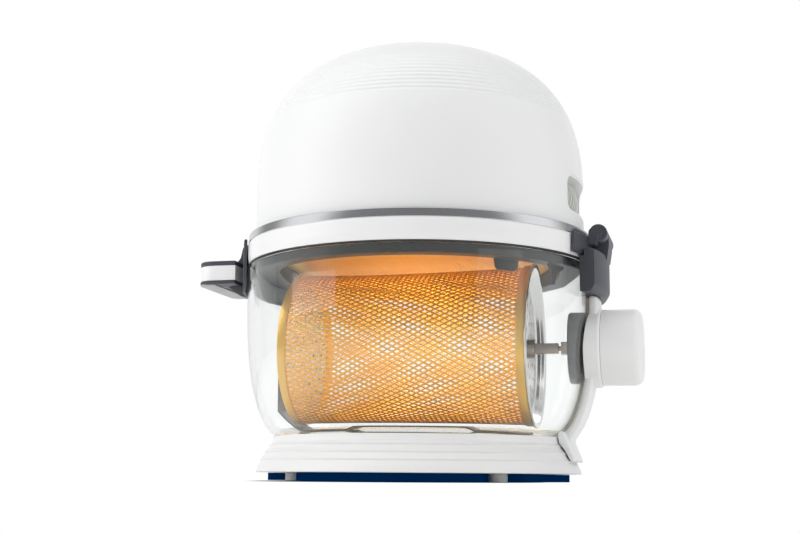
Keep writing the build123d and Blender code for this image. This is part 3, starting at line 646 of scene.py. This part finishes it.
def make_handle():
    """Two dark shells with shoulders, a white insert between them, and a curved plate on the collar."""
    shoulder = 24
    fillet = rounded([(-131.4, 176.6, 0.6), (-134.0, 176.6, 1.6), (-136.4, 164.6, 12.0), (-147.4, 163.9, 1.2),
                      (-147.4, 160.3, 0), (-131.4, 160.3, 0)], 12)
    upper = joined(grip_flat(160.2, 163.9, 0, 1.1), prism(fillet, -shoulder, shoulder, "XZ"))
    piece("grip_upper", upper, "head", SLATE, ["handle_upper"], bevel=0.8, sharp=35)
    under = rounded([(-131.4, 160.0, 0), (-147.4, 160.0, 0.8), (-147.4, 148.0, 2.5), (-140.0, 142.0, 4.0),
                     (-134.6, 138.6, 1.2), (-131.4, 138.6, 0)])
    lower = joined(grip_flat(146.2, 149.2, 0, 1.1), prism(under, -shoulder, shoulder, "XZ"))
    grip = piece("grip_lower", lower, "head", SLATE, ["handle_lower"], bevel=0.8, sharp=35)
    pocket = prism(rounded([(-158, -5, 1.9), (-154, -5, 1.9), (-154, 5, 1.9), (-158, 5, 1.9)]), 145.0, 148.0)
    carve(grip, pocket, 35)
    piece("grip_sole", grip_flat(145.4, 146.4, 1.8, 0.3, -150.0), "head", PALE, sharp=35)
    piece("grip_insert", grip_flat(149.0, 160.4, 0.3, 0.5), "head", WHITE, ["handle_insert"],
          sharp=35)
    plate_in, plate_out, plate_low, plate_high, plate_arc = 130.8, 133.0, 138.2, 176.6, 50
    plate = rounded([(plate_in, plate_low, 0.8), (plate_out, plate_low, 0.8), (plate_out, plate_high, 0.8),
                     (plate_in, plate_high, 0.8)], 3)
    back = piece("grip_plate", rotated(turned(plate, 40, plate_arc), 180.0, "Z"), "head",
                 SLATE, ["handle_plate"], sharp=35)
    corners = []
    for side in (-1, 1):
        corner = rounded([(side * 70, 130, 0), (side * 70, 160, 0), (side * 56.0, 160, 0),
                          (side * 56.0, 138.0, 18), (side * 30, 138.0, 0), (side * 30, 130, 0)], 10)
        corners.append(prism(corner, -150, -100, "YZ"))
    carve(back, joined(*corners), 35)


# Head

def make_dome():
    """Dome with ten fine grooves near its top, and the outlet window cut through it."""
    low, grooves_low, grooves_high = trim_high, 265.0, 299.0
    groove_count, groove_step = 10, 3.2
    groove = ((-1.1, 0.0), (-0.6, 0.28), (0.0, 0.45), (0.6, 0.28), (1.1, 0.0), (1.6, 0.0))
    outer = [(dome_edge(low) - 0.6, low), (dome_edge(low), low + 0.7)]
    outer += [(dome_edge(z), z) for z in heights(low + 6, grooves_low, 6.0)]
    for middle in (267.0 + i * groove_step for i in range(groove_count)):
        outer += [(dome_edge(middle + away) - depth, middle + away) for away, depth in groove]
    outer += [(dome_edge(z), z) for z in heights(grooves_high, head_top - 0.5, 2.0)]
    outer += [(55.6, head_top - 0.15), (55.0, head_top - 0.5)]
    inner = [(dome_edge(low) - 3.0, low)]
    inner += [(dome_edge(z) - dome_wall, z) for z in heights(low + 6, head_top - 3, 6.0)]
    inner.append((55.0, head_top - 4.0))
    dome = piece("dome_skin", turned(outer + inner[::-1], FINE_STEPS), "head", WHITE,
                 ["dome_shell"], sharp=60)
    carve(dome, prism(vent_outline(0), 90, 140, "YZ"), 30)


def all_but(outline):
    """Cutter that leaves only what lies inside an outline of the outlet window."""
    side, low, high = 90, vent_low - 9, vent_high + 9
    box = prism([(-side, low), (side, low), (side, high), (-side, high)], 60, 170, "YZ")
    return joined(box, flipped(prism(outline, 90, 140, "YZ")))


def make_vent():
    """Rim of the outlet window, the panel set in it, and its ribs."""
    low, high, seat_r = vent_low, vent_high, 108.0
    band = turned([(seat_r, low - 1), (dome_edge(low) - 0.5, low - 1), (dome_edge(high) - 0.5, high + 1),
                   (seat_r, high + 1)], 80, 44)
    rim = piece("vent_rim", band, "head", WHITE, sharp=30)
    carve(rim, all_but(vent_outline(-0.4)), 30)
    carve(rim, prism(vent_outline(1.6), 90, 140, "YZ"), 30)
    panel_in, panel_out = 112.5, 115.0
    panel = turned([(panel_in, low), (panel_out, low), (panel_out, high), (panel_in, high)], 60, 42)
    well = piece("vent_well", panel, "head", VENT, ["vent_grille"], sharp=30)
    carve(well, all_but(vent_outline(1.6)), 30)
    count, pitch, half, crest_r = 11, 6.6, 1.3, 120.4
    ribs = []
    for y in (pitch * (i - count // 2) for i in range(count)):
        x = math.sqrt(crest_r ** 2 - y * y)
        rib = rounded([(x - 7.5, low + 5, 0), (x - 1.5, low + 7, 2.0), (x - 0.2, low + 14, 3.0),
                       (x - 2.5, high - 4, 2.0), (x - 7.5, high - 3, 0)], 4)
        ribs.append(prism(rib, y - half, y + half, "XZ"))
    piece("vent_ribs", joined(*ribs), "head", VENT, bevel=0.7, sharp=30)


def make_top():
    """Cap ring and the touch panel inside it."""
    cap_in, cap_out, face_r = 44.4, 54.6, 44.1
    cap = rounded([(cap_in, head_top - 3, 0), (cap_out, head_top - 3, 0), (cap_out, head_top, 0.8),
                   (cap_in, head_top, 0.4)])
    piece("cap_ring", turned(cap), "head", WHITE, ["top_cap"], sharp=30)
    face = rounded([(0, head_top - 2.0, 0), (face_r, head_top - 2.0, 0), (face_r, head_top - 0.1, 0.5),
                    (0, head_top - 0.1, 0)])
    piece("touch_face", turned(face), "head", TOUCH, ["touch_panel"], sharp=30)


def make_collar():
    """Bright trim, white collar and the seal line under it."""
    trim = rounded([(121.2, collar_high, 0), (129.5, collar_high, 0.5), (129.3, trim_high - 0.9, 0.6),
                    (126.6, trim_high, 0.8), (121.2, trim_high, 0)])
    piece("trim_band", turned(trim, FINE_STEPS), "head", TRIM, ["trim_ring"], sharp=30)
    collar = rounded([(121.8, collar_low, 0.3), (129.2, collar_low, 0.5), (129.9, collar_low + 5, 6),
                      (129.95, collar_high - 1.0, 0.8), (129.3, collar_high, 0.4), (110.0, collar_high, 0),
                      (110.0, collar_high - 3, 0), (121.8, collar_high - 3, 0)])
    piece("collar_skin", turned(collar, FINE_STEPS), "head", COLLAR_WHITE, ["head_collar"],
          sharp=30)
    seal_in, seal_out, seal_low = 124.4, 128.7, collar_low - 1.2
    seal = rounded([(seal_in, seal_low, 0.3), (seal_out, seal_low, 0.5), (seal_out, collar_low, 0.2),
                    (seal_in, collar_low, 0)], 3)
    piece("seal_ring", turned(seal, 200), "head", SILICONE, ["lid_gasket"], sharp=30)


def make_guard():
    """Dark guard ring under the collar, with its hanging tab and pointed leg."""
    tab_r, leg_r, sheet = 105.0, 112.0, 1.6
    ring = rounded([(105.0, 151.0, 0.8), (121.6, 151.0, 1.6), (121.6, 171.0, 0), (119.4, 171.0, 0),
                    (119.4, 153.2, 1.0), (106.8, 153.2, 0.6), (106.8, 158.8, 0.4), (105.0, 158.8, 0.4)], 4)
    tab = rounded([(-10.5, 153.0, 0), (-9.0, 143.8, 3.5), (9.0, 143.8, 3.5), (10.5, 153.0, 0)])
    leg = rounded([(-12.0, 153.0, 0), (-6.5, 147.5, 3.0), (-4.0, 138.0, 1.2), (-1.0, 138.0, 1.0),
                   (2.0, 146.0, 3.0), (12.0, 149.5, 2.0), (12.0, 153.0, 0)])
    guard = joined(turned(ring, 200), rotated(prism(tab, tab_r, tab_r + sheet, "YZ"), tab_turn, "Z"),
                   rotated(prism(leg, leg_r, leg_r + sheet, "YZ"), leg_turn, "Z"))
    piece("guard_band", guard, "head", COAT, ["guard_ring"], sharp=30)


# Drum

def net_sheet(length, width, cell_long, cell_short):
    """Flat field of diamonds about the origin, wide enough to be cut to length and width."""
    bm = bmesh.new()
    span = math.ceil(length / cell_long + width / cell_short) + 4
    bmesh.ops.create_grid(bm, x_segments=span, y_segments=span, size=span * MM / math.sqrt(2) / 2)
    rotated(bm, 45.0, "Z")
    bmesh.ops.scale(bm, vec=(cell_long, cell_short, 1), verts=bm.verts)
    return bm


def clip(bm, point, normal):
    """Cuts away what lies beyond a plane."""
    bmesh.ops.bisect_plane(bm, geom=bm.verts[:] + bm.edges[:] + bm.faces[:], dist=1e-7, plane_co=point,
                           plane_no=normal, clear_outer=True, use_snap_center=False)


def strands(bm, width):
    """Turns each cell of a field into an opening between strands."""
    cells = bm.faces[:]
    bmesh.ops.inset_individual(bm, faces=cells, thickness=width / 2 * MM, use_even_offset=True)
    bmesh.ops.delete(bm, geom=cells, context="FACES_ONLY")


def make_net():
    """Flat net cut to the drum's length and girth, wrapped round it and closed without a seam."""
    girth = FULL_TURN * (drum_r - net_inset)
    length = drum_right - drum_left - 8.0
    end, edge = length / 2 * MM, girth / 2 * MM
    bm = net_sheet(length, girth, net_long, girth / net_around)
    for x, y in ((end, 0), (-end, 0), (0, edge), (0, -edge)):
        clip(bm, (x, y, 0), Vector((x, y, 0)).normalized())
    middle = (drum_left + drum_right) / 2 * MM
    radius = (drum_r - net_inset) * MM
    for v in bm.verts:
        angle = v.co.y / radius
        v.co = Vector((v.co.x + middle, radius * math.sin(angle), drum_z * MM + radius * math.cos(angle)))
    bmesh.ops.remove_doubles(bm, verts=bm.verts, dist=1e-5)
    along = 0.98
    seam = [e for e in bm.edges if abs((e.verts[0].co - e.verts[1].co).normalized().x) > along]
    bmesh.ops.dissolve_edges(bm, edges=seam, use_verts=False)
    strands(bm, net_strand)
    thicken(piece("drum_net", bm, "drum", GOLD, ["drum_mesh"], sharp=60), net_thick)


def make_bands():
    """Rolled band at each end of the net."""
    band, band_wide = drum_r + 0.05, 6
    for name, low, slot in (("left", drum_left, "gold_steel"), ("right", drum_right - band_wide, "steel")):
        high = low + band_wide
        outline = rounded([(band - 0.9, low, 0.3), (band + 0.8, low, 0.5), (band + 0.8, high, 0.5),
                           (band - 0.9, high, 0.3)], 4)
        piece(f"net_band_{name}", onto_x(turned(outline, 120)), "drum", GOLD, [f"drum_band_{name}"],
              sharp=30)


def make_ends():
    """Punched steel dish at each end of the drum."""
    hole_r, rings = 1.9, ((15, 8), (25, 14), (35, 20), (45, 26))
    holes = [spread(bolt(hole_r, drum_left - 3, drum_right + 5, ring_r, 0, 12), count, 0.1 * ring_r)
             for ring_r, count in rings]
    dish = rounded([(0, 80.0, 0), (52.5, 80.0, 3.5), (55.0, drum_right - 1, 3.0), (58.0, drum_right - 0.4, 0),
                    (60.0, drum_right + 0.6, 0.8), (59.6, drum_right + 2.2, 0.9),
                    (56.5, drum_right + 1.6, 2.5), (53.6, 82.5, 2.5), (52.0, 81.2, 1.5), (0, 81.2, 0)], 5)
    right = piece("drum_dish_right", onto_x(turned(dish, 144)), "drum", SPUN, ["drum_end_right"],
                  sharp=30)
    plate = rounded([(0, drum_left + 2, 0), (52.0, drum_left + 2, 3), (56.3, drum_left + 0.6, 0.4),
                     (56.3, drum_left + 1.8, 0.4), (52.0, drum_left + 3.2, 3), (0, drum_left + 3.2, 0)], 5)
    left = piece("drum_dish_left", onto_x(turned(plate, 144)), "drum", SPUN, sharp=30)
    punches = onto_x(joined(*holes))
    copy = punches.copy()
    carve(right, punches, 30)
    carve(left, copy, 30)


def make_spit():
    """Stub that the stand holds, and the hub, square sleeve and pin that the drive turns."""
    pin_r, stub_r, stub_low, step = 3.4, 6, drum_left - 20, drum_left - 9
    stub = rounded([(0, stub_low, 0), (pin_r, stub_low, 0.6), (pin_r, step, 0), (stub_r, step, 0.6),
                    (stub_r, drum_left + 2.4, 0), (0, drum_left + 2.4, 0)], 4)
    piece("drum_stub", onto_x(turned(stub, 48)), "drum", STEEL, ["drum_end_left"], sharp=30)
    hub = onto_x(turned(rounded([(0, 78, 0), (7, 78, 0.5), (7, 88, 0.8), (0, 88, 0)], 4), 48))
    half, soft = 3.7, 0.6
    square = rounded([(-half, drum_z - half, soft), (half, drum_z - half, soft), (half, drum_z + half, soft),
                      (-half, drum_z + half, soft)], 3)
    spit = joined(hub, prism(square, 86.0, 104.6, "YZ"), onto_x(bolt(1.75, 104, 114.0, steps=24)))
    piece("drum_spit", spit, "drum", SPIT, ["drum_axle"], bevel=0.25, sharp=35)


def make_stand():
    """Bent strip along the floor of the bowl, and the slotted post that holds the stub."""
    half, top, slot, slot_depth = 15.5, 120, 4.0, 4.0
    low = [(-106.9, 50.2), (-88, 30.8), (-52, 30.8), (-46, 35.0), (38, 35.0), (44, 30.8), (84, 30.8)]
    high = [(84, 32.3), (44.6, 32.3), (38.6, 36.5), (-46.6, 36.5), (-52.6, 32.3), (-87.4, 32.3),
            (-105.4, 50.8)]
    strip = prism(low + high, -half, half, "XZ")
    post = rounded([(-half, 50.4, 0), (half, 50.4, 0), (half, top, 5), (slot, top, 1.5), (slot, drum_z, 0),
                    (2.8, drum_z - 2.8, 0), (0, drum_z - slot_depth, 0), (-2.8, drum_z - 2.8, 0),
                    (-slot, drum_z, 0), (-slot, top, 1.5), (-half, top, 5)], 5)
    sheet = joined(strip, prism(post, -106.9, -105.4, "YZ"))
    piece("stand_sheet", sheet, "base", SHADED_STAND, ["drum_stand"], bevel=0.3, sharp=35)


def make_air_guard():
    """Gold net disc under the fan."""
    field, disc_r, net_z, cell_long, cell_short = 220, 109.5, 159.3, 6.0, 3.4
    bm = net_sheet(field, field, cell_long, cell_short)
    strands(bm, 0.9)
    outside = [f for f in bm.faces if f.calc_center_median().length > disc_r * MM]
    bmesh.ops.delete(bm, geom=outside, context="FACES")
    thicken(piece("air_guard_net", moved(bm, z=net_z), "head", GOLD, ["air_guard"], sharp=60),
            net_thick)


# Finishes on the frame's own nodes

FINISHES = {
    "base_plate": PALE, "base_screws": STEEL, "bowl_seat": SILICONE, "cord_gland": SLATE, "drive_bush": BRASS,
    "drive_seal": SILICONE, "drive_motor": STEEL, "hinge_pin": STEEL, "control_board": BOARD,
    "chassis_ring": STEEL, "head_screws": STEEL, "heater_tube": HEATER, "heat_shield": STEEL,
    "motor_plate": STEEL, "air_motor": STEEL, "motor_screws": STEEL, "handle_screws": STEEL,
    "air_shaft": STEEL, "hot_fan": STEEL, "cooling_fan": PALE, "drive_shaft": SPIT,
}


def dress_frame():
    """Gives each kept node its finish."""
    for name, finish in FINISHES.items():
        mesh = nodes[name].data
        if mesh.materials:
            mesh.materials[0] = finish
        else:
            mesh.materials.append(finish)


# Stage, light and camera

def floor_painted_shadow():
    """Plain paper to the piece; to the camera, white with a painted shadow that darkens it under the base."""
    made, tree, base = shader("floor_painted_shadow")
    place = place_of(tree)
    drift = clouds(tree, place, 2.0)
    paper = blend_colours(tree, drift, (0.90, 0.90, 0.90), (0.93, 0.93, 0.93))
    tree.links.new(paper, base.inputs["Base Color"])
    tune(base, Roughness=0.9, Specular_IOR_Level=0.1)
    # Painted shadow: to camera and transmission rays the floor emits navy inside an ellipse under the base,
    # fading to white between shadow_dark and shadow_end.
    shaped = vector_maths(tree, "MULTIPLY_ADD", "Vector", place, (1.3, 0.62, 1.0), (0.0, 0.02, 0.0))
    away = vector_maths(tree, "LENGTH", "Value", shaped)
    fade = level(tree, away, 0.0, 1.0, shadow_dark, shadow_end, smooth=True)
    painted_floor = node(tree, "ShaderNodeEmission")
    tree.links.new(blend_colours(tree, fade, (0.0, 0.012, 0.05), (1.0, 1.0, 1.0)), painted_floor.inputs["Color"])
    path = node(tree, "ShaderNodeLightPath").outputs
    seen = maths(tree, "MAXIMUM", path["Is Camera Ray"], path["Is Transmission Ray"])
    show(tree, mixed(tree, seen, base.outputs[0], painted_floor.outputs[0]))
    return made


def shade_ink():
    """Dark blue of the painted contact shade, glowing faintly."""
    made, tree, ink = shader("under_shade")
    tone = clouds(tree, place_of(tree), 30.0)
    for target in ("Base Color", "Emission Color"):
        tree.links.new(blend_colours(tree, tone, navy, navy_light), ink.inputs[target])
    tune(ink, Emission_Strength=0.8, Specular_IOR_Level=0.0, Roughness=1.0)
    return made


def make_stage():
    """Floor, and a dark block of painted contact shade under the base with room for each foot."""
    sheet = bmesh.new()
    bmesh.ops.create_grid(sheet, x_segments=1, y_segments=1, size=6.0)
    floor = placed("floor", sheet)
    floor.data.materials.append(floor_painted_shadow())
    feet = [math.atan2(y, x) for x in (foot_x, -foot_x) for y in (foot_y, -foot_y)]
    outline = []
    for angle in (math.radians(degree) for degree in range(360)):
        reach = shade_radius
        for side in feet:
            along, off = foot_circle * math.cos(angle - side), foot_circle * math.sin(angle - side)
            if along > 0 and abs(off) < foot_room:
                reach = min(reach, along - math.sqrt(foot_room ** 2 - off ** 2))
        outline.append((reach * math.cos(angle), reach * math.sin(angle)))
    # Painted shade: a dark blue block that glows faintly fills the gap under the base where only shade falls.
    shade = placed("under_shade", prism(outline, shade_low, shade_high))
    shade.data.materials.append(shade_ink())


def make_world():
    """White to the camera; to the piece, bright all round with a darker room behind the camera."""
    world = bpy.data.worlds.new("studio")
    bpy.context.scene.world = world
    world.use_nodes = True
    tree = world.node_tree
    way = node(tree, "ShaderNodeTexCoord").outputs["Generated"]
    toward = vector_maths(tree, "DOT_PRODUCT", "Value", way, (0.24, -0.97, -0.05))
    path = node(tree, "ShaderNodeLightPath").outputs
    dark = level(tree, toward, 0.0, 1.0, 0.72, 0.97, smooth=True)
    room = tune(tree.nodes["Background"], Strength=room_level)
    tree.links.new(blend_colours(tree, dark, (0.985, 0.985, 0.985), (0.13, 0.13, 0.14)), room.inputs["Color"])
    bands = node(tree, "ShaderNodeValToRGB")
    stops = ((0.0, 0.9), (0.12, 0.8), (0.21, 0.28), (0.32, 0.30), (0.46, 1.0), (0.66, 1.0), (0.80, 0.26),
             (1.0, 0.20))
    while len(bands.color_ramp.elements) < len(stops):
        bands.color_ramp.elements.new(0.5)
    for stop, (position, grey) in zip(bands.color_ramp.elements, stops):
        stop.position = position
        stop.color = (grey, grey, grey, 1)
    tree.links.new(level(tree, toward, 0.0, 1.0, first=-1.0), bands.inputs[0])
    mirrored = node(tree, "ShaderNodeBackground")
    tree.links.new(bands.outputs[0], mirrored.inputs["Color"])
    light = mixed(tree, path["Is Glossy Ray"], room.outputs[0], mirrored.outputs[0])
    behind = maths(tree, "LESS_THAN", toward, -0.35)
    through = maths(tree, "MULTIPLY", path["Is Transmission Ray"], behind)
    seen = maths(tree, "MAXIMUM", path["Is Camera Ray"], through)
    white = node(tree, "ShaderNodeBackground", Color=(1, 1, 1, 1), Strength=1.0)
    show(tree, mixed(tree, seen, light, white.outputs[0]))


def lamp(name, place, target, size, power):
    """Square soft box aimed at a point."""
    data = bpy.data.lights.new(name, "AREA")
    data.shape = "RECTANGLE"
    data.size, data.size_y = size
    data.energy = power
    obj = bpy.data.objects.new(name, data)
    bpy.context.scene.collection.objects.link(obj)
    obj.location = place
    obj.rotation_mode = "QUATERNION"
    obj.rotation_quaternion = (Vector(target) - Vector(place)).to_track_quat("-Z", "Y")
    obj.visible_glossy = False
    return obj


def make_lights():
    """Four soft boxes round the piece, and two small warm ones in the bowl for the lit oven."""
    centre = (0, 0, 0.17)
    soft_boxes = (
        ("key", (-1.25, -0.75, 0.9), (1.1, 1.5), 12.0),
        ("fill", (1.3, -0.6, 0.6), (0.9, 1.3), 4.0),
        ("back", (0.1, 1.4, 1.1), (1.6, 0.8), 6.0),
        ("top", (0.0, -0.2, 1.6), (1.2, 1.2), 4.0),
    )
    for name, place, size, power in soft_boxes:
        lamp(name, place, centre, size, power)
    floor, dome, glow_size, warm = (0.0, 0.0, 0.0), (0.0, 0.0, 0.3), (0.12, 0.04), (1.0, 0.74, 0.38)
    downward = lamp("glow", (0.0, 0.0, 0.112), floor, glow_size, 0.22)
    upward = lamp("glow_up", (0.0, 0.0, 0.085), dome, glow_size, 0.20)
    for inner in (downward, upward):
        inner.data.color = warm
        inner.visible_camera = False
        inner.visible_transmission = False


def make_camera():
    """Camera at the photograph's viewpoint: low, looking slightly up, a little to the drive side."""
    azimuth, pitch, roll = math.radians(14.0), math.radians(9.25), math.radians(0.45)
    distance, eye_height, aside = 0.971, 0.003, 0.0149
    picture_width, focal_pixels, sensor = 800.0, 1294.0, 36.0
    right = Vector((math.cos(azimuth), math.sin(azimuth), 0))
    ahead = Vector((-math.sin(azimuth), math.cos(azimuth), 0))
    data = bpy.data.cameras.new("camera")
    data.sensor_width = sensor
    data.lens = focal_pixels * sensor / picture_width
    data.clip_start = 0.01
    obj = bpy.data.objects.new("camera", data)
    bpy.context.scene.collection.objects.link(obj)
    obj.location = -ahead * distance - right * aside + Vector((0, 0, eye_height))
    look = ahead * math.cos(pitch) + Vector((0, 0, math.sin(pitch)))
    obj.rotation_mode = "QUATERNION"
    obj.rotation_quaternion = look.to_track_quat("-Z", "Y") @ Matrix.Rotation(roll, 3, "Z").to_quaternion()
    bpy.context.scene.camera = obj


bpy.context.scene.view_settings.view_transform = "Standard"
make_stage()
make_world()
make_lights()
make_camera()
make_base()
make_bowl()
make_arm()
make_drive()
make_hinge()
make_handle()
make_dome()
make_vent()
make_top()
make_collar()
make_guard()
make_net()
make_bands()
make_ends()
make_spit()
make_stand()
make_air_guard()
dress_frame()
